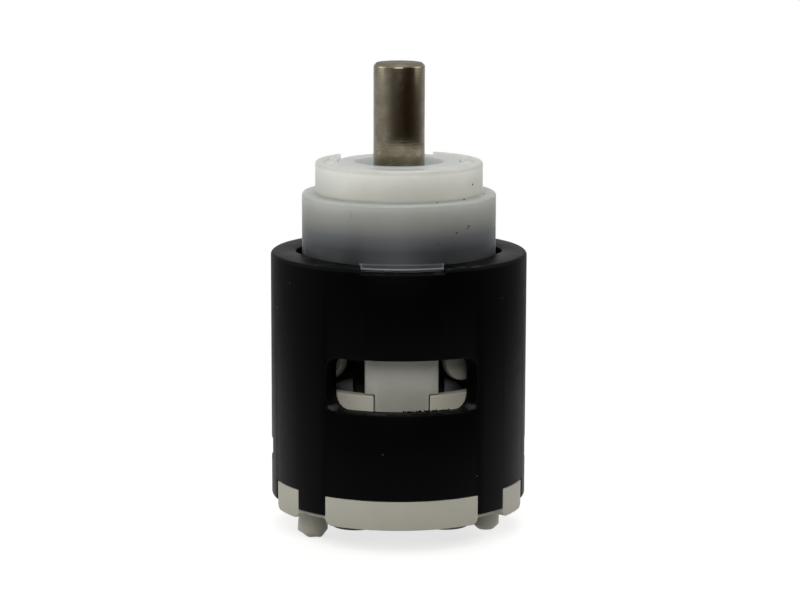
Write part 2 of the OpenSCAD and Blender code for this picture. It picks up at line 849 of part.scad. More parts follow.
// Perforated screen in the mouth of the chamber, which quietens the flow
module silencer_screen() {
    hole = 0.7;
    pitch = 1.2;
    color("#d7d9d4")
    translate([0, 0, carrier_z + film_gap])
    difference() {
        linear_extrude(screen_t) chamber_2d(screen_rim - run_gap);
        for (x = [-2 * pitch:pitch:2 * pitch])
            for (y = [chamber_front + pitch / 2:pitch:chamber_back - pitch / 2])
                translate([x, y, -over]) cylinder(h = screen_t + 2 * over, d = hole);
    }
}

module mixing_seal() {
    color("#2a2a2a")
    translate([0, 0, carrier_z])
        linear_extrude(mix_seal_h - film_gap)
            difference() {
                chamber_2d(mix_seal_in + inner_seal_w);
                chamber_2d(mix_seal_in);
            }
}

module moving_disc() {
    centre = stroke / 2;
    color("#f1f0ea")
    difference() {
        translate([0, centre, moving_z]) cylinder(h = moving_t, r = moving_r);
        translate([0, 0, moving_z - over]) linear_extrude(moving_t + 2 * over) chamber_2d(0);
        both_sides()
            translate([moving_r - key_depth - run_gap, centre - key_w / 2 - run_gap,
                       moving_z + moving_t / 2 - fit_gap])
                cube([key_depth + over, key_w + 2 * run_gap, moving_t]);
    }
}

module fixed_disc() {
    color("#f4f3ee")
    difference() {
        translate([0, 0, fixed_z]) cylinder(h = fixed_t, r = fixed_r);
        both_sides() {
            translate([inlet_x, -inlet_y, fixed_z - over]) cylinder(h = fixed_t + 2 * over, d = inlet_d);
            translate([fixed_r - key_depth - run_gap, -key_w / 2 - run_gap, fixed_z - over])
                cube([key_depth + over, key_w + 2 * run_gap, fixed_t + 2 * over]);
        }
        slot([-outlet_w / 2, outlet_y], [outlet_w / 2, outlet_y], outlet_d / 2, fixed_z - over,
            fixed_z + fixed_t + over);
    }
}

// Rubber ring in a groove of the base's floor
module inner_seal(p, q, r) {
    slot_ring(p, q, r + fit_gap, r + fit_gap + inner_seal_w, floor_t - inner_seal_deep + film_gap, floor_t);
}

module hot_inner_seal() {
    color("#2b2b2b") mirror([1, 0, 0]) inner_seal(inlet_top_in, inlet_top_out, inlet_d / 2 + fit_gap);
}

module cold_inner_seal() {
    color("#2b2b2b") inner_seal(inlet_top_in, inlet_top_out, inlet_d / 2 + fit_gap);
}

module outlet_inner_seal() {
    color("#2b2b2b")
        inner_seal([-outlet_top[0], outlet_top[1]], outlet_top, outlet_d / 2 + fit_gap);
}

// Rubber ring that stands proud of the base face, with a narrower lip
module bottom_seal(p, q, r) {
    lip = seal_w / 5;
    slot_ring(p, q, r + run_gap, r + run_gap + seal_w, lip - seal_proud, seal_deep - film_gap);
    slot_ring(p, q, r + run_gap + lip, r + run_gap + seal_w - lip, -seal_proud, lip - seal_proud);
}

module hot_bottom_seal() {
    color("#222222") mirror([1, 0, 0]) bottom_seal(inlet_low_in, inlet_low_out, port_d / 2);
}

module cold_bottom_seal() {
    color("#222222") bottom_seal(inlet_low_in, inlet_low_out, port_d / 2);
}

module outlet_bottom_seal() {
    color("#222222") bottom_seal([-outlet_low[0], outlet_low[1]], outlet_low, drain_d / 2);
}

module base() {
    color("#d6d3c2")
    difference() {
        union() {
            cylinder(h = block_h, r = cavity_r - fit_gap);
            cylinder(h = cup_top, r = cup_r);
            translate([0, 0, foot_z - film_gap - strip_t])
                cylinder(h = strip_t, r = housing_r - strip_back);
            front_and_back() {
                base_block(notch_angle - block_turn);
                both_sides()
                    rotate([0, 0, (side_from + side_to) / 2])
                        base_block((side_to - side_from) / 2 - block_turn);
            }
            both_sides() barb();
            peg(peg_x, peg_right_d, peg_right_h);
            peg(-peg_x, peg_left_d, peg_left_h);
        }
        difference() {
            translate([0, 0, floor_t]) cylinder(h = cup_h + over, r = cup_in_r);
            both_sides()
                translate([fixed_r - key_depth, -key_w / 2, floor_t - over])
                    cube([cup_wall + key_depth, key_w, fixed_t + over]);
        }
        front_and_back()
            translate([-tongue_w / 2 - fit_gap, -cup_r - over, cup_top - tongue_h - fit_gap])
                cube([tongue_w + 2 * fit_gap, cup_wall + 2 * over, tongue_h + over]);
        both_sides()
            passage(inlet_top_in, inlet_top_out, inlet_d / 2 + fit_gap,
                inlet_low_in, inlet_low_out, port_d / 2);
        passage([-outlet_top[0], outlet_top[1]], outlet_top, outlet_d / 2 + fit_gap,
            [-outlet_low[0], outlet_low[1]], outlet_low, drain_d / 2);
    }
}

// Block that fills a foot notch, at the front, with rounded lower corners
module base_block(half) {
    intersection() {
        cylinder(h = block_h, r = housing_r - block_back);
        radial_prism(rounded_outline(half, 0, block_h + over, block_corner, weld, housing_r),
            cavity_r / 2, housing_r + over);
    }
}

// Barb that snaps into the housing's latch window
module barb() {
    half = asin((latch_w / 2 - fit_gap) / housing_r);
    low = latch_z + fit_gap;
    land = 0.6;
    rotate([0, 0, -half])
        rotate_extrude(angle = 2 * half)
            polygon([
                [cup_r - weld, low], [barb_r, low], [barb_r, low + land],
                [cup_r, low + latch_h - 2 * fit_gap], [cup_r - weld, low + latch_h - 2 * fit_gap]
            ]);
}

// Locating peg with a tapered end
module peg(x, d, h) {
    taper = d / 5;
    translate([x, -peg_y, -h])
        rotate_extrude()
            polygon([[0, 0], [d / 2 - taper, 0], [d / 2, taper], [d / 2, h + weld], [0, h + weld]]);
}

// Passage through the floor, with grooves for the seals above and below
module passage(top_p, top_q, top_r, low_p, low_q, low_r) {
    slot(top_p, top_q, top_r, passage_mid - fit_gap, floor_t + over);
    slot(low_p, low_q, low_r, -over, passage_mid + fit_gap);
    slot_ring(top_p, top_q, top_r - weld, top_r + inner_seal_w + 2 * fit_gap, floor_t - inner_seal_deep,
        floor_t + over);
    slot_ring(low_p, low_q, low_r - weld, low_r + seal_w + 2 * run_gap, -over, seal_deep);
}

housing();
collar();
ball_seat();
wave_washer();
retaining_ring();
swivel_ball();
cross_pin();
stem();
guide_ring();
disc_carrier();
silencer_screen();
mixing_seal();
moving_disc();
fixed_disc();
hot_inner_seal();
cold_inner_seal();
outlet_inner_seal();
base();
hot_bottom_seal();
cold_bottom_seal();
outlet_bottom_seal();
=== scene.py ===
# %% [markdown]
# # Ceramic mixing cartridge
# The small cartridge inside a single-lever faucet: a black housing with a window, a stepped
# collar of milky plastic, a round metal stem, and a cream base with pegs and rubber seals.
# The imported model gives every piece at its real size. This lesson gives each one its finish,
# and makes again in finer form the pieces whose edges and surfaces the light picks out.

# %% Load the frame
import json
import math

import bmesh
import bpy
from mathutils import Matrix, Quaternion, Vector, noise


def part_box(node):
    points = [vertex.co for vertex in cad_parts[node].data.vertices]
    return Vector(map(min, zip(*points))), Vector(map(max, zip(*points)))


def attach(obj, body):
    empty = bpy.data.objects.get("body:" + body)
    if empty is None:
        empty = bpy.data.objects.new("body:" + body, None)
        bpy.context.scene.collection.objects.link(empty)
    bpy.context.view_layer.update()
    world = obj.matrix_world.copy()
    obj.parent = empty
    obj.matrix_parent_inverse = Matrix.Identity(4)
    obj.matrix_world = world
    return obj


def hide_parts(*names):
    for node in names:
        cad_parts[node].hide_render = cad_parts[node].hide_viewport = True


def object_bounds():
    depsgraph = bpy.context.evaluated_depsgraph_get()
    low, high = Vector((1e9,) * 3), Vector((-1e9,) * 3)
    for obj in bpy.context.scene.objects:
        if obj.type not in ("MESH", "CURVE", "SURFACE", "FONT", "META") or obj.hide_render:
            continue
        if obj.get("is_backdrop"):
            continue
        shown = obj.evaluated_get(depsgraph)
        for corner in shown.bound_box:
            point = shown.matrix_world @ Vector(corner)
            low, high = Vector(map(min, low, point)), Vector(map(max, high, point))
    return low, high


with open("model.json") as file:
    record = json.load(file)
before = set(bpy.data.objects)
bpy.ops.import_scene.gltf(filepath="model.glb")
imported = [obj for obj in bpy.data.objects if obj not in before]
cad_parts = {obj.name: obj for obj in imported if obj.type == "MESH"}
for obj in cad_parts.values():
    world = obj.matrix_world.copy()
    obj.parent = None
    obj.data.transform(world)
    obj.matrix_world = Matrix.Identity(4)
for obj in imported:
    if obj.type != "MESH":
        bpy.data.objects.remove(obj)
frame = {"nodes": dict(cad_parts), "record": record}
nodes = frame["nodes"]
record = frame["record"]
cad_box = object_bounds()
MM = 0.001
body_of = {node: body for body, names in record["behaviour"]["bodies"].items() for node in names}
slot_of = {part["node"]: part["material_slot"] for part in record["subparts"]}
print("pieces in the frame:", len(nodes))

# %% [markdown]
# ## Camera
# A long lens looks down at the cartridge by ten degrees from a quarter of a metre away. Its
# place was worked out from the ellipses of the round edges, so it is set by numbers and not
# by eye. The cartridge itself is turned by about two degrees, which here turns the camera.

# %% Camera
VIEW_DISTANCE = 263.5 * MM
VIEW_DOWN = math.radians(10.27)
VIEW_TURN = math.radians(-1.9)
VIEW_ROLL = math.radians(0.15)
AIM = Vector((0.13 * MM, 0, 20.03 * MM))
FOCAL_PIXELS = 2687.34
PHOTO_WIDTH = 800
SENSOR_MM = 36
NEAREST = 10 * MM
FURTHEST = 10

camera_data = bpy.data.cameras.new("camera")
camera_data.sensor_width = SENSOR_MM
camera_data.lens = FOCAL_PIXELS * SENSOR_MM / PHOTO_WIDTH
camera_data.clip_start = NEAREST
camera_data.clip_end = FURTHEST
camera = bpy.data.objects.new("camera", camera_data)
reach = VIEW_DISTANCE * math.cos(VIEW_DOWN)
camera.location = AIM + Vector((
    reach * math.sin(VIEW_TURN),
    -reach * math.cos(VIEW_TURN),
    VIEW_DISTANCE * math.sin(VIEW_DOWN)))
looking = (AIM - camera.location).to_track_quat("-Z", "Y")
camera.rotation_mode = "QUATERNION"
camera.rotation_quaternion = looking @ Quaternion((0, 0, 1), VIEW_ROLL)
bpy.context.scene.collection.objects.link(camera)
bpy.context.scene.camera = camera
print("lens in millimetres:", round(camera_data.lens, 1))

# %% [markdown]
# ## Colour and node helpers
# Colours are written as they look on a screen, in hex, and a shader wants them linear, so one
# function turns them. A second one adds any node with its settings and its links, which keeps
# every material below to a list of what it is made of. Where a node's first output is meant,
# the node itself is given, and any other output is named.

# %% Helpers for shaders and trees
def linear(hex_colour):
    """Linear red, green, blue and alpha of a screen colour such as "#d8d4c0"."""
    values = [int(hex_colour[i:i + 2], 16) / 255 for i in (1, 3, 5)]
    return [v / 12.92 if v <= 0.04045 else ((v + 0.055) / 1.055) ** 2.4 for v in values] + [1]


def feed(tree, node, inputs):
    """Gives each input, by name or number, a value or a link from a node or its output."""
    for name, value in inputs.items():
        if isinstance(value, bpy.types.Node):
            value = next(socket for socket in value.outputs if socket.enabled)
        if isinstance(value, bpy.types.NodeSocket):
            tree.links.new(value, node.inputs[name])
        else:
            node.inputs[name].default_value = value


def add(tree, kind, inputs=None, stops=None, **settings):
    """Adds a node. stops maps a colour ramp's positions to hex colours or to grey levels."""
    node = tree.nodes.new(kind)
    for name, value in settings.items():
        setattr(node, name, value)
    if stops:
        elements = node.color_ramp.elements
        while len(elements) < len(stops):
            elements.new(0.5)
        for element, (position, colour) in zip(elements, sorted(stops.items())):
            element.position = position
            element.color = linear(colour) if isinstance(colour, str) else [colour] * 3 + [1]
    feed(tree, node, inputs or {})
    return node


def start_material(name):
    """A new material, its tree and shader, and its object's coordinates in millimetres."""
    material = bpy.data.materials.new(name)
    material.use_nodes = True
    tree = material.node_tree
    coordinates = add(tree, "ShaderNodeTexCoord")
    place = add(tree, "ShaderNodeVectorMath", {0: coordinates.outputs["Object"], 3: 1 / MM},
                operation="SCALE")
    return material, tree, tree.nodes["Principled BSDF"], place


# %% [markdown]
# ## Black housing: glass-filled nylon, moulded
# Short glass fibres lie at the surface of this plastic, so it is satin, with a fine grain, and
# it goes grey where it was rubbed. The grain is drawn four times as coarse as the real one of
# 0.06 mm, which would not show. Sharp edges wear pale first, and the bevels made below carry
# an attribute named edge that tells the shader where they are. Every material's noise counts
# its features per millimetre, so a scale of 4 draws them 0.25 mm wide.

# %% Material of the housing
EDGE_WEAR = 0.12
RUBBED_AT = (6.3, 10.8, 11.6)
RUBBED_SPREAD = (0.42, 0.25, 1.3)


def housing_finish():
    material, tree, shader, place = start_material("glass_filled_nylon_moulded")
    grain = add(tree, "ShaderNodeTexNoise", {"Vector": place, "Scale": 4.0, "Detail": 3.0})
    mottle = add(tree, "ShaderNodeTexNoise",
                 {"Vector": place, "Scale": 0.55, "Detail": 5.0, "Roughness": 0.65})
    # Sharp edges, where the grain breaks up the wear
    edge = add(tree, "ShaderNodeAttribute", attribute_name="edge")
    broken = add(tree, "ShaderNodeMath", {0: edge.outputs["Fac"], 1: grain},
                 operation="MULTIPLY")
    worn = add(tree, "ShaderNodeMath", {0: broken, 1: EDGE_WEAR}, operation="MULTIPLY")
    # Upward faces, where dust and rubbing show first
    scuffs = add(tree, "ShaderNodeValToRGB", {"Fac": mottle}, {0.55: 0.0, 0.72: 1.0})
    normal = add(tree, "ShaderNodeNewGeometry")
    up = add(tree, "ShaderNodeSeparateXYZ", {0: normal.outputs["Normal"]})
    flat = add(tree, "ShaderNodeValToRGB", {"Fac": up.outputs["Z"]}, {0.8: 0.0, 0.95: 1.0})
    dusty = add(tree, "ShaderNodeMath", {0: flat, 1: scuffs}, operation="MULTIPLY")
    pale = add(tree, "ShaderNodeMath", {0: worn, 1: dusty}, operation="MAXIMUM")
    # Rubbed patches outside the lower corners of both windows
    sides = add(tree, "ShaderNodeVectorMath", {0: place}, operation="ABSOLUTE")
    corner = add(tree, "ShaderNodeVectorMath", {0: sides, 1: RUBBED_AT}, operation="SUBTRACT")
    corner = add(tree, "ShaderNodeVectorMath", {0: corner, 1: RUBBED_SPREAD},
                 operation="MULTIPLY")
    near = add(tree, "ShaderNodeVectorMath", {0: corner}, operation="LENGTH")
    streaks = add(tree, "ShaderNodeTexNoise",
                  {"Vector": place, "Scale": 6.0, "Detail": 6.0, "Roughness": 0.9})
    ragged = add(tree, "ShaderNodeMath", {0: streaks, 1: near}, operation="SUBTRACT")
    rubbed = add(tree, "ShaderNodeValToRGB", {"Fac": ragged}, {0.1: 0.0, 0.24: 1.0})
    pale = add(tree, "ShaderNodeMath", {0: pale, 1: rubbed}, operation="MAXIMUM")
    colour = add(tree, "ShaderNodeMix",
                 {"Factor": pale, "A": linear("#020203"), "B": linear("#3c3c3a")},
                 data_type="RGBA")
    rough = add(tree, "ShaderNodeMapRange", {"Value": mottle, "To Min": 0.36, "To Max": 0.52})
    bump = add(tree, "ShaderNodeBump",
               {"Height": grain, "Strength": 0.25, "Distance": 0.03 * MM})
    # Fibres and pores leave the surface a seventeenth of the gloss of a smooth plastic
    feed(tree, shader, {"Base Color": colour, "Roughness": rough, "Normal": bump,
                        "IOR": 1.53, "Specular IOR Level": 0.03})
    return material


finish_of = {"housing_black": housing_finish()}
print("material:", finish_of["housing_black"].name)

# %% [markdown]
# ## Milky collar: acetal, moulded
# Acetal lets light in and scatters it for a few millimetres. Subsurface scattering softens the
# edges that way. The renderer treats a scattering wall as if nothing lay behind it, though, and
# on the real part what lies behind decides the tone: the thick rim around the white ball is
# almost white, and the thin walls lower down, which stand in front of the dark inside of the
# housing, are grey. So the colour follows the height, with the stops where the wall changes.
# That colour is painted light and shade, which stands in for the light through the wall and for
# the shade of the housing round it. The rounded edges are painted paler, as a painted highlight.
# The surface is smooth, with faint flow marks about 2 mm apart. Its roughness stays above 0.3,
# because the step that cleans a render leaves marks along sharper reflections.

# %% Material of the collar and of the white pieces in the middle
WALL_LOW = 8.0
WALL_HIGH = 34.0
FLOW_SHADE = (0.9, 0.9, 0.9, 1)
EDGE_PAINTED_HIGHLIGHT = 0.12
SCATTER_DEPTH = 1.6 * MM
SCATTER_TINT = (1.0, 1.0, 0.97)


def acetal_finish(name, tones, roughest, smoothest):
    """tones maps heights above the base face, in millimetres, to the wall's colour there,
    which is painted light and shade.
    """
    material, tree, shader, place = start_material(name)
    flow = add(tree, "ShaderNodeTexNoise",
               {"Vector": place, "Scale": 0.5, "Detail": 3.0, "Distortion": 0.6})
    fine = add(tree, "ShaderNodeTexNoise", {"Vector": place, "Scale": 7.0, "Detail": 2.0})
    axes = add(tree, "ShaderNodeSeparateXYZ", {0: place})
    height = add(tree, "ShaderNodeMapRange",
                 {"Value": axes.outputs["Z"], "From Min": WALL_LOW, "From Max": WALL_HIGH})
    span = WALL_HIGH - WALL_LOW
    wall = add(tree, "ShaderNodeValToRGB", {"Fac": height},
               {(z - WALL_LOW) / span: colour for z, colour in tones.items()})
    tone = add(tree, "ShaderNodeMix", {"Factor": flow, "A": wall, "B": FLOW_SHADE},
               data_type="RGBA", blend_type="MULTIPLY")
    # Painted highlight: the rounded edges are mixed towards a pale colour
    edge = add(tree, "ShaderNodeAttribute", attribute_name="edge")
    painted_edge_highlight = add(tree, "ShaderNodeMath", {0: edge.outputs["Fac"], 1: EDGE_PAINTED_HIGHLIGHT},
              operation="MULTIPLY")
    tone = add(tree, "ShaderNodeMix", {"Factor": painted_edge_highlight, "A": tone, "B": linear("#f0f0ea")},
               data_type="RGBA")
    rough = add(tree, "ShaderNodeMapRange",
                {"Value": flow, "To Min": smoothest, "To Max": roughest})
    bump = add(tree, "ShaderNodeBump",
               {"Height": fine, "Strength": 0.12, "Distance": 0.02 * MM})
    feed(tree, shader, {"Base Color": tone, "Roughness": rough, "Normal": bump, "IOR": 1.48,
                        "Subsurface Weight": 1.0, "Subsurface Radius": SCATTER_TINT,
                        "Subsurface Scale": SCATTER_DEPTH})
    return material


# %% [markdown]
# The first values were worked out from how light the photograph is at points down the front
# of the collar, divided by the light that falls there. Each stop was then changed from render
# to render against such points: milky white at the rim, blue-grey where the thin wall stands
# before the dark housing, and pale again on the leg in the window. All of them are painted
# light and shade: a darker band at the foot of the upper tier, a darker top of the rim, and a
# paler top of the leg, where the top of the window shades it. The ball's tones are painted
# shade too, a little darker at its top.

# %% Painted light and shade of the white pieces
COLLAR_PAINTED_TONES = {
    8.0: "#c4c4b8", 13.0: "#c9c9be", 17.0: "#efefe7", 22.0: "#6a6c6a", 24.0: "#383b3c",
    26.2: "#44484c", 27.4: "#6e7174", 28.4: "#969793", 29.4: "#b0b1ac", 30.3: "#c6c7c2",
    30.75: "#a8aaa6", 30.95: "#d2d1c7", 31.9: "#e3e3da", 32.6: "#f0f0e9", 33.3: "#f5f5ee",
    33.6: "#d2d3cd", 33.8: "#c6c7c1",
}
BALL_PAINTED_TONES = {8.0: "#cfd0c8", 31.0: "#d4d6d2", 34.0: "#c2c5c4"}
finish_of["collar_white"] = acetal_finish("acetal_moulded_milky", COLLAR_PAINTED_TONES, 0.44, 0.32)
finish_of["inner_white"] = acetal_finish("acetal_moulded_white", BALL_PAINTED_TONES, 0.49, 0.37)
print("tones of the collar:", len(COLLAR_PAINTED_TONES), "and of the ball:", len(BALL_PAINTED_TONES))

# %% [markdown]
# ## Grey and cream mouldings
# The carrier and the guide ring are a filled grey plastic, and the base is a cream one. Both
# are opaque and satin, and their grain of 0.1 mm is drawn at 0.2 mm so that it shows.

# %% Material of the opaque mouldings
def moulded_finish(name, colour, shade):
    material, tree, shader, place = start_material(name)
    cloud = add(tree, "ShaderNodeTexNoise", {"Vector": place, "Scale": 0.35, "Detail": 4.0})
    grain = add(tree, "ShaderNodeTexNoise", {"Vector": place, "Scale": 5.0, "Detail": 2.0})
    tone = add(tree, "ShaderNodeMix",
               {"Factor": cloud, "A": linear(colour), "B": linear(shade)}, data_type="RGBA")
    bump = add(tree, "ShaderNodeBump",
               {"Height": grain, "Strength": 0.2, "Distance": 0.02 * MM})
    rough = add(tree, "ShaderNodeMapRange", {"Value": grain, "To Min": 0.44, "To Max": 0.56})
    feed(tree, shader, {"Base Color": tone, "Roughness": rough, "Normal": bump, "IOR": 1.52})
    return material


finish_of["inner_grey"] = moulded_finish("filled_plastic_moulded_grey", "#4c4d49", "#3f403d")
finish_of["base_cream"] = moulded_finish("filled_plastic_moulded_cream", "#bdbaac", "#b2afa2")
print("materials:", finish_of["inner_grey"].name, finish_of["base_cream"].name)

# %% [markdown]
# ## Stem: turned brass, nickel-plated
# The bar is turned, so fine rings run round it, and its plating has gone warm and blotchy
# where fingers and water got at it. The rings are 0.05 mm apart on the real bar and are drawn
# 0.3 mm apart. They are bands along Z, and the blotches only change colour and roughness.
# The sawn end is dull, and its upward faces, the end and the chamfer, are painted darker, as
# painted shade. The foot, which stands in water, is pitted.

# %% Material of the stem
PITS_BEGIN = 39.0
PITS_FULL = 34.0


def stem_finish():
    material, tree, shader, place = start_material("nickel_plated_brass_turned")
    rings = add(tree, "ShaderNodeTexWave",
                {"Vector": place, "Scale": 1.05, "Distortion": 0.4, "Detail": 2.0},
                wave_type="BANDS", bands_direction="Z")
    blotch = add(tree, "ShaderNodeTexNoise",
                 {"Vector": place, "Scale": 0.8, "Detail": 6.0, "Roughness": 0.7})
    stain = add(tree, "ShaderNodeValToRGB", {"Fac": blotch}, {0.36: 0.0, 0.62: 1.0})
    plating = add(tree, "ShaderNodeMix",
                  {"Factor": stain, "A": linear("#aca594"), "B": linear("#968a74")},
                  data_type="RGBA")
    polish = add(tree, "ShaderNodeMapRange", {"Value": stain, "To Min": 0.15, "To Max": 0.26})
    # The sawn end: rougher, and painted darker on its upward faces, as painted shade
    normal = add(tree, "ShaderNodeNewGeometry")
    up = add(tree, "ShaderNodeSeparateXYZ", {0: normal.outputs["Normal"]})
    sawn_end_painted_dark = add(tree, "ShaderNodeValToRGB", {"Fac": up.outputs["Z"]}, {0.55: 0.0, 0.9: 0.5})
    colour = add(tree, "ShaderNodeMix", {"Factor": sawn_end_painted_dark, "A": plating, "B": linear("#4a463c")},
                 data_type="RGBA")
    rough = add(tree, "ShaderNodeMath", {0: polish, 1: sawn_end_painted_dark}, operation="ADD")
    # The pitted foot
    axes = add(tree, "ShaderNodeSeparateXYZ", {0: place})
    low = add(tree, "ShaderNodeMapRange",
              {"Value": axes.outputs["Z"], "From Min": PITS_BEGIN, "From Max": PITS_FULL})
    pits = add(tree, "ShaderNodeTexNoise",
               {"Vector": place, "Scale": 3.5, "Detail": 3.0, "Roughness": 0.6})
    pits = add(tree, "ShaderNodeMath", {0: pits, 1: low}, operation="MULTIPLY")
    pitted = add(tree, "ShaderNodeBump",
                 {"Height": pits, "Strength": 0.6, "Distance": 0.03 * MM})
    bump = add(tree, "ShaderNodeBump",
               {"Height": rings.outputs["Fac"], "Strength": 0.04, "Distance": 0.02 * MM,
                "Normal": pitted})
    feed(tree, shader, {"Base Color": colour, "Roughness": rough, "Normal": bump,
                        "Metallic": 1.0})
    return material


finish_of["stem_metal"] = stem_finish()
print("material:", finish_of["stem_metal"].name)

# %% [markdown]
# ## Spring steel, alumina discs and rubber seals
# The washer, the snap ring and the pin are rolled or drawn steel, bright and streaky. The
# discs are lapped ceramic, hard and almost white, with a soft sheen. The seals are black
# rubber with a fine matt skin and a little dust in it. All three are a noise that a ramp
# turns into two near colours, and that is enough for pieces that are mostly out of sight.

# %% Materials of the spring steel, the discs and the seals
def spring_steel_finish():
    material, tree, shader, place = start_material("spring_steel_rolled")
    stretched = add(tree, "ShaderNodeMapping", {"Vector": place, "Scale": (6.0, 6.0, 1.0)})
    rolled = add(tree, "ShaderNodeTexNoise", {"Vector": stretched, "Scale": 1.0, "Detail": 3.0})
    colour = add(tree, "ShaderNodeValToRGB", {"Fac": rolled}, {0.3: "#a9adb2", 0.7: "#bcc0c4"})
    rough = add(tree, "ShaderNodeMapRange", {"Value": rolled, "To Min": 0.2, "To Max": 0.34})
    feed(tree, shader, {"Base Color": colour, "Roughness": rough, "Metallic": 1.0})
    return material


def ceramic_finish():
    material, tree, shader, place = start_material("alumina_lapped")
    speckle = add(tree, "ShaderNodeTexNoise", {"Vector": place, "Scale": 6.0, "Detail": 4.0})
    colour = add(tree, "ShaderNodeValToRGB", {"Fac": speckle}, {0.3: "#e3e0d6", 0.7: "#f0eee7"})
    feed(tree, shader, {"Base Color": colour, "Roughness": 0.28, "IOR": 1.76})
    return material


def rubber_finish():
    material, tree, shader, place = start_material("nitrile_rubber_moulded")
    skin = add(tree, "ShaderNodeTexNoise", {"Vector": place, "Scale": 8.0, "Detail": 3.0})
    colour = add(tree, "ShaderNodeValToRGB", {"Fac": skin}, {0.4: "#0e0e0e", 0.75: "#232322"})
    bump = add(tree, "ShaderNodeBump",
               {"Height": skin, "Strength": 0.25, "Distance": 0.02 * MM})
    feed(tree, shader, {"Base Color": colour, "Normal": bump, "Roughness": 0.62, "IOR": 1.52})
    return material


finish_of["spring_steel"] = spring_steel_finish()
finish_of["ceramic"] = ceramic_finish()
finish_of["seal_rubber"] = rubber_finish()
print("slots without a material:", set(slot_of.values()) - set(finish_of))

# %% [markdown]
# ## A finer copy of a moulded or turned piece
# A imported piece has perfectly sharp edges, and no real one has. The copy is merged, its flat
# faces are joined again, and every sharp edge gets a small rounding, because that is where the
# light draws the bright lines of the photograph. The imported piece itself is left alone.

# %% Helpers that finish a piece
SAME_POINT = 0.002 * MM
SHORT_EDGE = 0.01 * MM
THIN_FACE = 0.004 * MM
FLAT_WITHIN = math.radians(1)
ROUNDED_FROM = math.radians(32)
SMOOTH_UP_TO = math.radians(30)


def settle(mesh, node):
    """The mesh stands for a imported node, moves with its body and takes its material slot."""
    piece = bpy.data.objects.new(node + "_finished", mesh)
    bpy.context.scene.collection.objects.link(piece)
    piece.data.materials.clear()
    piece.data.materials.append(finish_of[slot_of[node]])
    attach(piece, body_of[node])
    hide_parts(node)
    return piece


def soften(node, rounding):
    """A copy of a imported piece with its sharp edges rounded, in millimetres."""
    shape = bmesh.new()
    shape.from_mesh(nodes[node].data)
    edge = shape.faces.layers.float.new("edge")
    bmesh.ops.remove_doubles(shape, verts=shape.verts, dist=SAME_POINT)
    bmesh.ops.dissolve_limit(shape, angle_limit=FLAT_WITHIN, verts=shape.verts,
                             edges=shape.edges, delimit={"NORMAL"})
    bmesh.ops.remove_doubles(shape, verts=shape.verts, dist=SHORT_EDGE)
    bmesh.ops.dissolve_degenerate(shape, dist=THIN_FACE, edges=shape.edges)
    sharp = [e for e in shape.edges
             if len(e.link_faces) == 2 and e.calc_face_angle(0) > ROUNDED_FROM]
    rounded = bmesh.ops.bevel(shape, geom=sharp, offset=rounding * MM, offset_type="OFFSET",
                              segments=2, profile=0.5, affect="EDGES", clamp_overlap=False,
                              miter_outer="SHARP")
    for face in rounded["faces"]:
        face[edge] = 1.0
    bmesh.ops.triangulate(shape, faces=shape.faces)
    mesh = bpy.data.meshes.new(node + "_finished")
    shape.to_mesh(mesh)
    volume = shape.calc_volume() / MM ** 3
    shape.free()
    mesh.shade_smooth()
    mesh.set_sharp_from_angle(angle=SMOOTH_UP_TO)
    print(f"{node}: {len(mesh.polygons)} triangles, {volume:.0f} mm3")
    return settle(mesh, node)


# %% [markdown]
# Moulded edges are rounded by about a tenth of a millimetre, and turned or stamped ones by
# half of that.

# %% Finer copies
ROUNDINGS = {
    "housing": 0.1, "collar": 0.12, "base": 0.1, "swivel_ball": 0.1, "disc_carrier": 0.08,
    "guide_ring": 0.1, "ball_seat": 0.08, "retaining_ring": 0.05, "cross_pin": 0.05,
    "stem": 0.05, "moving_disc": 0.08, "fixed_disc": 0.08,
}
finer = {node: soften(node, rounding) for node, rounding in ROUNDINGS.items()}

# %% [markdown]
# ## Blocks of the base, grown into their notches
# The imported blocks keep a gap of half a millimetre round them, which lets the pieces be
# measured and moved apart. On the real part the two mouldings nearly touch, and the eye sees
# one thin line between them. So the blocks of the finer base are stretched, about the middle
# of each notch, until only a hair's width is left. The left peg also gets its torn tip, from
# a noise with a fixed seed, because without one it would be torn another way at each run.

# %% Base that fills its notches
NOTCHES = ((0, 35.5), (180, 35.5), (62.7, 9.6), (-62.7, 9.6))
NOTCH_MARGIN = 1
NOTCH_GROWTH = 0.6
BLOCK_RISE = 0.5
PACKED_R = 12.17
BLOCK_R = 12.45
BLOCK_FROM_R = 11.6
BLOCK_TOP_FROM = 2.1
TORN_BELOW = -1.5
TORN_BY = 0.5
TORN_PER_MM = 0.5
TORN_SEED = 2


def into_notch(point):
    """The point of a block, in millimetres, moved towards the edge of its notch."""
    azimuth = math.degrees(math.atan2(point.x, -point.y))
    for middle, half in NOTCHES:
        away = (azimuth - middle + 180) % 360 - 180
        if abs(away) < half + NOTCH_MARGIN:
            azimuth = math.radians(middle + away * (1 + NOTCH_GROWTH / half))
            radius = point.xy.length + (BLOCK_R - PACKED_R)
            height = point.z + (BLOCK_RISE if point.z > BLOCK_TOP_FROM else 0)
            return Vector((radius * math.sin(azimuth), -radius * math.cos(azimuth), height))
    return point


noise.seed_set(TORN_SEED)
base_points = finer["base"].data.vertices
moved = 0
for vertex in base_points:
    point = vertex.co / MM
    if point.xy.length > BLOCK_FROM_R:
        vertex.co = into_notch(point) * MM
        moved += 1
    elif point.z < TORN_BELOW and point.x < 0:
        torn = noise.noise_vector(point * TORN_PER_MM) * min(1, TORN_BELOW - point.z) * TORN_BY
        vertex.co = (point + Vector((torn.x, torn.y, abs(torn.z)))) * MM
widest = max(vertex.co.xy.length for vertex in base_points) / MM
print("points of the blocks:", moved, "widest radius:", round(widest, 2))

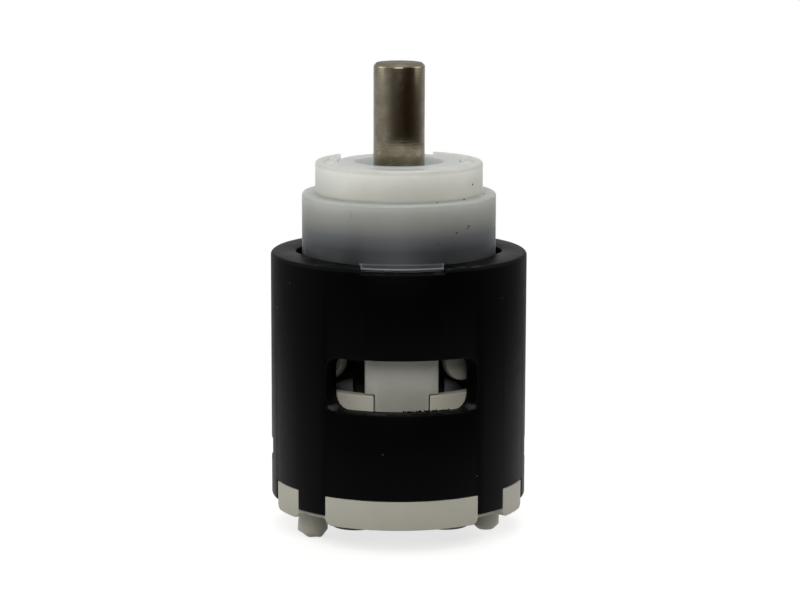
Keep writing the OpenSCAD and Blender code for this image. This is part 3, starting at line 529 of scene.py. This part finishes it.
# %% [markdown]
# ## Rubber rings that follow a slot
# All seven seals follow the same rule: a rounded strip swept along a rectangle with round
# corners. One Geometry Nodes tree with named sizes makes them all, so a change of width or
# height is one number. The helpers below make and run such trees, here and further down.

# %% Helpers for Geometry Nodes
FLAT_FROM = math.radians(35)


def new_tree(name, sizes):
    """A Geometry Nodes tree with a material input and one number for each named size."""
    tree = bpy.data.node_groups.new(name, "GeometryNodeTree")
    tree.interface.new_socket("Geometry", in_out="INPUT", socket_type="NodeSocketGeometry")
    tree.interface.new_socket("Geometry", in_out="OUTPUT", socket_type="NodeSocketGeometry")
    tree.interface.new_socket("Material", in_out="INPUT", socket_type="NodeSocketMaterial")
    for size in sizes:
        tree.interface.new_socket(size, in_out="INPUT", socket_type="NodeSocketFloat")
    return tree, tree.nodes.new("NodeGroupInput").outputs


def end_tree(tree, sockets, geometry):
    """Realize Instances and Set Material close every tree."""
    real = add(tree, "GeometryNodeRealizeInstances", {0: geometry})
    dressed = add(tree, "GeometryNodeSetMaterial", {0: real, "Material": sockets["Material"]})
    add(tree, "NodeGroupOutput", {0: dressed})


def grow(name, tree, material, sizes, start=None):
    """Plain mesh of the tree's result, with its sizes set by the sockets' identifiers."""
    mesh = start or bpy.data.meshes.new(name)
    source = bpy.data.objects.new(name + "_tree", mesh)
    bpy.context.scene.collection.objects.link(source)
    modifier = source.modifiers.new("tree", "NODES")
    modifier.node_group = tree
    values = dict(sizes, Material=material)
    for item in tree.interface.items_tree:
        if item.item_type == "SOCKET" and item.in_out == "INPUT" and item.name in values:
            modifier[item.identifier] = values[item.name]
    graph = bpy.context.evaluated_depsgraph_get()
    result = bpy.data.meshes.new_from_object(source.evaluated_get(graph), depsgraph=graph)
    bpy.data.objects.remove(source)
    result.name = name
    return result


def tidy_shape(mesh):
    """Merges seams and turns every face outwards."""
    shape = bmesh.new()
    shape.from_mesh(mesh)
    bmesh.ops.remove_doubles(shape, verts=shape.verts, dist=SAME_POINT)
    bmesh.ops.recalc_face_normals(shape, faces=shape.faces)
    if shape.calc_volume(signed=True) < 0:
        bmesh.ops.reverse_faces(shape, faces=shape.faces)
    open_edges = sum(len(e.link_faces) != 2 for e in shape.edges)
    volume = shape.calc_volume() / MM ** 3
    shape.to_mesh(mesh)
    shape.free()
    mesh.shade_smooth()
    mesh.set_sharp_from_angle(angle=FLAT_FROM)
    print(f"{mesh.name}: {len(mesh.polygons)} faces, {volume:.1f} mm3, open edges {open_edges}")
    return mesh


# %% Tree of the seals
seal_tree, seal_in = new_tree(
    "rubber_ring", ["Length", "Width", "Corner", "Strip", "Height", "Edge"])
path = add(seal_tree, "GeometryNodeCurvePrimitiveQuadrilateral",
           {"Width": seal_in["Length"], "Height": seal_in["Width"]})
path = add(seal_tree, "GeometryNodeFilletCurve",
           {"Curve": path, "Radius": seal_in["Corner"], "Count": 20, "Limit Radius": True},
           mode="POLY")
strip = add(seal_tree, "GeometryNodeCurvePrimitiveQuadrilateral",
            {"Width": seal_in["Strip"], "Height": seal_in["Height"]})
strip = add(seal_tree, "GeometryNodeFilletCurve",
            {"Curve": strip, "Radius": seal_in["Edge"], "Count": 5, "Limit Radius": True},
            mode="POLY")
swept = add(seal_tree, "GeometryNodeCurveToMesh", {"Curve": path, "Profile Curve": strip})
end_tree(seal_tree, seal_in, swept)
print("nodes of the seals' tree:", len(seal_tree.nodes))

# %% [markdown]
# The seals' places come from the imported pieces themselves. Each packed seal's box gives its
# middle, and the direction of the two inlet slots is the same as in the base. The ring round
# the mouth of the mixing chamber is made by the same tree. Only its numbers differ.

# %% Seals
SEAL_STRIP = 0.9 * MM
SEAL_EDGE = 0.16 * MM
MOUTH_CORNER = 1.9 * MM
INLET_RUN = Vector((1.3, -2.6)) * MM
OUTLET_RUN = 2.4 * MM
INNER_OUTLET_RUN = 2.0 * MM


def middle_of(node):
    """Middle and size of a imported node's box."""
    low, high = (Vector(corner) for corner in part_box(node))
    return (low + high) / 2, high - low


def rubber_ring(node, length, width, corner, turn=0):
    """A seal of those sizes along the middle of its strip, turned about Z, at its node."""
    middle, extent = middle_of(node)
    mesh = grow(node + "_finished", seal_tree, finish_of[slot_of[node]], {
        "Length": length, "Width": width, "Corner": corner,
        "Strip": SEAL_STRIP, "Height": extent.z, "Edge": SEAL_EDGE,
    })
    mesh.transform(Matrix.Translation(middle) @ Matrix.Rotation(turn, 4, "Z"))
    settle(tidy_shape(mesh), node)


inlet_turn = math.atan2(INLET_RUN.y, INLET_RUN.x)
for node, run, turn in (
        ("hot_bottom_seal", INLET_RUN.length, math.pi - inlet_turn),
        ("cold_bottom_seal", INLET_RUN.length, inlet_turn),
        ("outlet_bottom_seal", OUTLET_RUN, 0),
        ("hot_inner_seal", INLET_RUN.length, math.pi - inlet_turn),
        ("cold_inner_seal", INLET_RUN.length, inlet_turn),
        ("outlet_inner_seal", INNER_OUTLET_RUN, 0)):
    across = middle_of(node)[1].y - abs(math.sin(turn)) * run - SEAL_STRIP
    rubber_ring(node, run + across, across, across / 2, turn)

mouth = middle_of("mixing_seal")[1]
rubber_ring("mixing_seal", mouth.x - SEAL_STRIP, mouth.y - SEAL_STRIP,
            MOUTH_CORNER + SEAL_STRIP / 2)

# %% [markdown]
# ## Wave washer
# A spring washer is a flat ring of steel strip pressed into three waves. It could be bent from
# a flat ring point by point, but a rule is shorter: the tree lifts each point of a circle by
# the sine of three times its angle, and sweeps the strip along it.

# %% Wave washer
WAVES = 3
WASHER_WIDTH = 2.1 * MM
WASHER_STRIP = 0.4 * MM
WASHER_EDGE = 0.08 * MM
WASHER_PLAY = 0.03 * MM

wave_tree, wave_in = new_tree(
    "wave_washer", ["Radius", "Width", "Thickness", "Swing", "Waves", "Edge"])
ring = add(wave_tree, "GeometryNodeCurvePrimitiveCircle",
           {"Resolution": 180, "Radius": wave_in["Radius"]})
position = add(wave_tree, "GeometryNodeInputPosition")
axes = add(wave_tree, "ShaderNodeSeparateXYZ", {0: position})
angle = add(wave_tree, "ShaderNodeMath", {0: axes.outputs["Y"], 1: axes.outputs["X"]},
            operation="ARCTAN2")
turned = add(wave_tree, "ShaderNodeMath", {0: angle, 1: wave_in["Waves"]},
             operation="MULTIPLY")
sine = add(wave_tree, "ShaderNodeMath", {0: turned}, operation="SINE")
lift = add(wave_tree, "ShaderNodeMath", {0: sine, 1: wave_in["Swing"]}, operation="MULTIPLY")
offset = add(wave_tree, "ShaderNodeCombineXYZ", {"Z": lift})
waved = add(wave_tree, "GeometryNodeSetPosition", {"Geometry": ring, "Offset": offset})
upright = add(wave_tree, "GeometryNodeSetCurveNormal", {"Curve": waved}, mode="Z_UP")
strip = add(wave_tree, "GeometryNodeCurvePrimitiveQuadrilateral",
            {"Width": wave_in["Width"], "Height": wave_in["Thickness"]})
strip = add(wave_tree, "GeometryNodeFilletCurve",
            {"Curve": strip, "Radius": wave_in["Edge"], "Count": 3, "Limit Radius": True},
            mode="POLY")
swept = add(wave_tree, "GeometryNodeCurveToMesh", {"Curve": upright, "Profile Curve": strip})
end_tree(wave_tree, wave_in, swept)

middle, extent = middle_of("wave_washer")
mesh = grow("wave_washer_finished", wave_tree, finish_of["spring_steel"], {
    "Radius": extent.x / 2 - WASHER_WIDTH / 2 - WASHER_PLAY, "Width": WASHER_WIDTH,
    "Thickness": WASHER_STRIP, "Swing": (extent.z - WASHER_STRIP) / 2, "Waves": WAVES,
    "Edge": WASHER_EDGE,
})
mesh.transform(Matrix.Translation(middle))
settle(tidy_shape(mesh), "wave_washer")

# %% [markdown]
# ## Silencer screen
# A thin plate with rows of holes quietens the water. The tree draws the outline and the rows
# of circles, fills the outline with the circles left open, and gives it its thickness. That
# keeps the holes' edges clean, which a boolean cut of twenty cylinders would not.

# %% Tree of the silencer screen
screen_tree, screen_in = new_tree(
    "perforated_plate",
    ["Length", "Width", "Corner", "Hole", "Pitch", "Columns", "Rows", "Thickness"])
outline = add(screen_tree, "GeometryNodeCurvePrimitiveQuadrilateral",
              {"Width": screen_in["Length"], "Height": screen_in["Width"]})
outline = add(screen_tree, "GeometryNodeFilletCurve",
              {"Curve": outline, "Radius": screen_in["Corner"], "Count": 10,
               "Limit Radius": True}, mode="POLY")


def spread_of(count):
    """Length of a row of that many holes."""
    steps = add(screen_tree, "ShaderNodeMath", {0: screen_in[count], 1: 1},
                operation="SUBTRACT")
    return add(screen_tree, "ShaderNodeMath", {0: steps, 1: screen_in["Pitch"]},
               operation="MULTIPLY")


grid = add(screen_tree, "GeometryNodeMeshGrid",
           {"Size X": spread_of("Columns"), "Size Y": spread_of("Rows"),
            "Vertices X": screen_in["Columns"], "Vertices Y": screen_in["Rows"]})
circle = add(screen_tree, "GeometryNodeCurvePrimitiveCircle",
             {"Resolution": 24, "Radius": screen_in["Hole"]})
holes = add(screen_tree, "GeometryNodeInstanceOnPoints", {"Points": grid, "Instance": circle})
holes = add(screen_tree, "GeometryNodeRealizeInstances", {0: holes})
drawn = add(screen_tree, "GeometryNodeJoinGeometry", {0: outline})
feed(screen_tree, drawn, {0: holes})
filled = add(screen_tree, "GeometryNodeFillCurve", {0: drawn}, mode="TRIANGLES")
raised = add(screen_tree, "GeometryNodeExtrudeMesh",
             {"Mesh": filled, "Offset": (0, 0, 1), "Offset Scale": screen_in["Thickness"],
              "Individual": False}, mode="FACES")
under = add(screen_tree, "GeometryNodeFlipFaces", {"Mesh": filled})
plate = add(screen_tree, "GeometryNodeJoinGeometry", {0: raised})
feed(screen_tree, plate, {0: under})
end_tree(screen_tree, screen_in, plate)
print("nodes of the screen's tree:", len(screen_tree.nodes))

# %% Silencer screen
middle, extent = middle_of("silencer_screen")
mesh = grow("silencer_screen_finished", screen_tree, finish_of["inner_white"], {
    "Length": extent.x, "Width": extent.y, "Corner": 1.5 * MM, "Hole": 0.35 * MM,
    "Pitch": 1.2 * MM, "Columns": 5, "Rows": 4, "Thickness": extent.z,
})
mesh.transform(Matrix.Translation(middle - Vector((0, 0, extent.z / 2))))
settle(tidy_shape(mesh), "silencer_screen")

# %% [markdown]
# ## Grit and burrs
# The part was lying about, so a few dark grains stick to the collar and some pale ones to the
# housing, and the moulded sill of the window has ragged burrs. One tree puts a small lumpy
# grain on each given point, with a fixed seed for its turn and its size.

# %% Tree of the grains
LUMPS_PER_METRE = 9000.0
HALF = (0.5, 0.5, 0.5)
ANY_TURN = (6.28, 6.28, 6.28)
SLIGHTEST = (0.5, 0.5, 0.4)
STOUTEST = (1.5, 1.1, 0.9)

grain_tree, grain_in = new_tree("grains", ["Size", "Seed"])
lump = add(grain_tree, "GeometryNodeMeshIcoSphere",
           {"Radius": grain_in["Size"], "Subdivisions": 2})
lumps = add(grain_tree, "ShaderNodeTexNoise", {"Scale": LUMPS_PER_METRE, "Detail": 1.0})
shifted = add(grain_tree, "ShaderNodeVectorMath", {0: lumps.outputs["Color"], 1: HALF},
              operation="SUBTRACT")
scaled = add(grain_tree, "ShaderNodeVectorMath", {0: shifted, 3: grain_in["Size"]},
             operation="SCALE")
lump = add(grain_tree, "GeometryNodeSetPosition", {"Geometry": lump, "Offset": scaled})
turn = add(grain_tree, "FunctionNodeRandomValue", {"Max": ANY_TURN, "Seed": grain_in["Seed"]},
           data_type="FLOAT_VECTOR")
scale = add(grain_tree, "FunctionNodeRandomValue",
            {"Min": SLIGHTEST, "Max": STOUTEST, "Seed": grain_in["Seed"]},
            data_type="FLOAT_VECTOR")
placed = add(grain_tree, "GeometryNodeInstanceOnPoints",
             {"Points": grain_in["Geometry"], "Instance": lump, "Rotation": turn,
              "Scale": scale})
end_tree(grain_tree, grain_in, placed)
print("nodes of the grains' tree:", len(grain_tree.nodes))

# %% [markdown]
# Each place is an azimuth from the front in degrees, a radius and a height in millimetres.
# The radii are those of the walls, so the grains sit on the surface from any side.

# %% Grains
DARK_GRIT = [
    (57.9, 8.16, 32.04), (76.9, 8.4, 30.76), (46.6, 8.3, 30.76), (23.5, 8.5, 30.76),
    (42.7, 9.46, 28.41), (41.9, 9.46, 28.2), (33.6, 9.46, 27.91), (20.9, 9.46, 27.05),
    (21.7, 9.46, 26.86), (-13.8, 9.46, 26.97),
]
PALE_DUST = [
    (-58.2, 12.5, 22.91), (-71.7, 12.5, 20.09), (50.0, 12.5, 21.65), (-8.5, 12.5, 7.42),
    (35.1, 12.5, 4.79),
]


def grains(name, places, size, seed, material):
    """A grain of about that size, in millimetres, on each place. All ride on the root body."""
    points = []
    for azimuth, radius, height in places:
        turn = math.radians(azimuth)
        points.append(Vector((radius * math.sin(turn), -radius * math.cos(turn), height)) * MM)
    start = bpy.data.meshes.new(name + "_points")
    start.from_pydata(points, [], [])
    mesh = grow(name, grain_tree, material, {"Size": size * MM, "Seed": seed}, start)
    piece = bpy.data.objects.new(name, tidy_shape(mesh))
    bpy.context.scene.collection.objects.link(piece)
    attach(piece, "root")
    return piece


def dust_finish(name, colour):
    material, tree, shader, place = start_material(name)
    tint = add(tree, "ShaderNodeTexNoise", {"Vector": place, "Scale": 9.0})
    shade = add(tree, "ShaderNodeValToRGB", {"Fac": tint}, {0.3: colour, 0.8: "#6d655a"})
    feed(tree, shader, {"Base Color": shade, "Roughness": 0.8})
    return material


grains("dark_grit", DARK_GRIT, 0.1, 3, dust_finish("soot_grit_dark", "#100d0a"))
grains("pale_dust", PALE_DUST, 0.05, 5, dust_finish("lime_dust_pale", "#8f8a80"))

# %% [markdown]
# A short hair lies on the left of the lower tier, made of grains so close that they touch. The
# burrs of the sill stand along its right half, where the mould's slide was worn.

# %% Hair and burrs
HAIR_GRAINS = 24
HAIR_AZIMUTH = -31.6
HAIR_BOW = 5.44
HAIR_R = 9.455
HAIR_TOP = 29.95
HAIR_DROP = 0.85
BURRS = 28
BURR_STEP = 0.8
BURR_SCATTER = 0.3
SILL_R = 11.5
SILL_HEIGHT = 11.37
BURR_RISE = 0.05

along = [grain / (HAIR_GRAINS - 1) for grain in range(HAIR_GRAINS)]
hair = [(HAIR_AZIMUTH + HAIR_BOW * t * (1 - t), HAIR_R, HAIR_TOP - HAIR_DROP * t) for t in along]
grains("hair", hair, 0.016, 2, dust_finish("lint_dark", "#4a4a46"))

ragged = [(BURR_STEP * burr + BURR_SCATTER * math.sin(5 * burr), SILL_R,
           SILL_HEIGHT + BURR_RISE * math.sin(3 * burr)) for burr in range(1, BURRS + 1)]
burrs = grains("sill_burrs", ragged, 0.11, 11, finish_of["housing_black"])

# %% [markdown]
# ## Floor
# A sheet of pale paper lies under the cartridge and keeps its shadow. It is small, and its
# colour falls off quickly, so it lights the pegs and the lower edge but not the whole front.
# What the camera and mirrors see of it is made white by its own light, which adds nothing to
# the diffuse light on the object.

# %% Floor
FLOOR_R = 80 * MM
PALE_WITHIN = 20.0
DARK_FROM = 50.0
SHADOWED_LEVEL = 0.72
WHITE = (1, 1, 1, 1)


def floor_finish():
    material, tree, shader, place = start_material("pale_paper_floor")
    ray = add(tree, "ShaderNodeLightPath")
    seen = add(tree, "ShaderNodeMath",
               {0: ray.outputs["Is Camera Ray"], 1: ray.outputs["Is Glossy Ray"]},
               operation="MAXIMUM")
    seen = add(tree, "ShaderNodeMath", {0: seen, 1: ray.outputs["Is Transmission Ray"]},
               operation="MAXIMUM")
    away = add(tree, "ShaderNodeVectorMath", {0: place}, operation="LENGTH")
    fade = add(tree, "ShaderNodeMapRange",
               {"Value": away, "From Min": PALE_WITHIN, "From Max": DARK_FROM})
    colour = add(tree, "ShaderNodeValToRGB", {"Fac": fade}, {0.0: "#b4b4b2", 1.0: "#2c2a28"})
    level = add(tree, "ShaderNodeMapRange",
                {"Value": fade, "To Min": SHADOWED_LEVEL, "To Max": 1.0})
    strength = add(tree, "ShaderNodeMath", {0: seen, 1: level}, operation="MULTIPLY")
    feed(tree, shader, {"Base Color": colour, "Roughness": 0.9, "Specular IOR Level": 0.0,
                        "Emission Color": WHITE, "Emission Strength": strength})
    return material


floor_mesh = bpy.data.meshes.new("floor")
disc = bmesh.new()
bmesh.ops.create_circle(disc, cap_ends=True, segments=96, radius=FLOOR_R)
bmesh.ops.translate(disc, verts=disc.verts, vec=(0, 0, cad_box[0][2]))
disc.to_mesh(floor_mesh)
disc.free()
floor_mesh.materials.append(floor_finish())
floor = bpy.data.objects.new("floor", floor_mesh)
bpy.context.scene.collection.objects.link(floor)
floor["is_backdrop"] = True
print("height of the floor in millimetres:", round(cad_box[0][2] / MM, 2))

# %% [markdown]
# ## World
# The room is dark in front, where the camera stands, and pale behind and to the left. That
# gives the round stem its dark middle and its two grey sides. The camera itself sees plain
# white, and so do mirrored rays that run straight back.

# %% World
PALE_SIDE = Vector((-0.5, 0.8, 0.3)).normalized()
ROOM_TONES = {0.0: "#241a14", 0.07: "#382f28", 0.16: "#4a443c", 0.3: "#686661", 0.6: "#b4b6b6"}
BACKDROP_FROM = 0.85

world = bpy.data.worlds.new("studio")
bpy.context.scene.world = world
world.use_nodes = True
tree = world.node_tree
direction = add(tree, "ShaderNodeTexCoord").outputs["Generated"]
towards = add(tree, "ShaderNodeVectorMath", {0: direction, 1: PALE_SIDE},
              operation="DOT_PRODUCT")
spread = add(tree, "ShaderNodeMapRange", {"Value": towards, "From Min": -1.0, "From Max": 1.0})
room = add(tree, "ShaderNodeValToRGB", {"Fac": spread}, ROOM_TONES)
# Rays that mirrors and clear things send backwards see the white background, as the camera does
axes = add(tree, "ShaderNodeSeparateXYZ", {0: direction})
behind = add(tree, "ShaderNodeMapRange",
             {"Value": axes.outputs["Y"], "From Min": BACKDROP_FROM, "From Max": 1.0})
ray = add(tree, "ShaderNodeLightPath")
mirrored = add(tree, "ShaderNodeMath",
               {0: ray.outputs["Is Glossy Ray"], 1: ray.outputs["Is Transmission Ray"]},
               operation="MAXIMUM")
mirrored = add(tree, "ShaderNodeMath", {0: mirrored, 1: behind}, operation="MULTIPLY")
seen = add(tree, "ShaderNodeMath", {0: ray.outputs["Is Camera Ray"], 1: mirrored},
           operation="MAXIMUM")
shown = add(tree, "ShaderNodeMix", {"Factor": seen, "A": room, "B": WHITE}, data_type="RGBA")
feed(tree, tree.nodes["Background"], {"Color": shown, "Strength": 1.0})
print("nodes of the world:", len(tree.nodes))

# %% [markdown]
# ## Lamps
# A soft lamp high in front lights the tiers, the leg in the window and the base, and two weaker
# ones light the tiers' sides. A small one above and behind draws the short bright lines on the
# edges of the rim and of the step. All hang above the stem's mirrored view, which goes down.

# %% Lamps
def softbox(name, place, size, power):
    """A square lamp, its size in metres and its power in watts, that points at the cartridge."""
    lamp = bpy.data.lights.new(name, "AREA")
    lamp.shape = "SQUARE"
    lamp.size = size
    lamp.energy = power
    holder = bpy.data.objects.new(name, lamp)
    holder.location = place
    holder.rotation_mode = "QUATERNION"
    holder.rotation_quaternion = (AIM - holder.location).to_track_quat("-Z", "Y")
    bpy.context.scene.collection.objects.link(holder)
    print("lamp:", name, power)


softbox("overhead", (0.05, 0.16, 0.5), size=0.15, power=0.4)
softbox("front_high", (-0.03, -0.4, 0.33), size=0.3, power=1.3)
softbox("left", (-0.42, 0.02, 0.22), size=0.3, power=0.45)
softbox("right", (0.42, 0.02, 0.22), size=0.3, power=0.55)

bpy.context.scene.view_settings.view_transform = "Standard"

# %% [markdown]
# ## Sizes
# The box of the finished pieces is printed beside the box of the imported ones.

# %% Print sizes and finish
size = {
    "cad": [list(corner) for corner in cad_box],
    "visual": [list(corner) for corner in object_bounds()],
}
for name, box in size.items():
    print(name, "box in millimetres:", [[round(v / MM, 2) for v in corner] for corner in box])
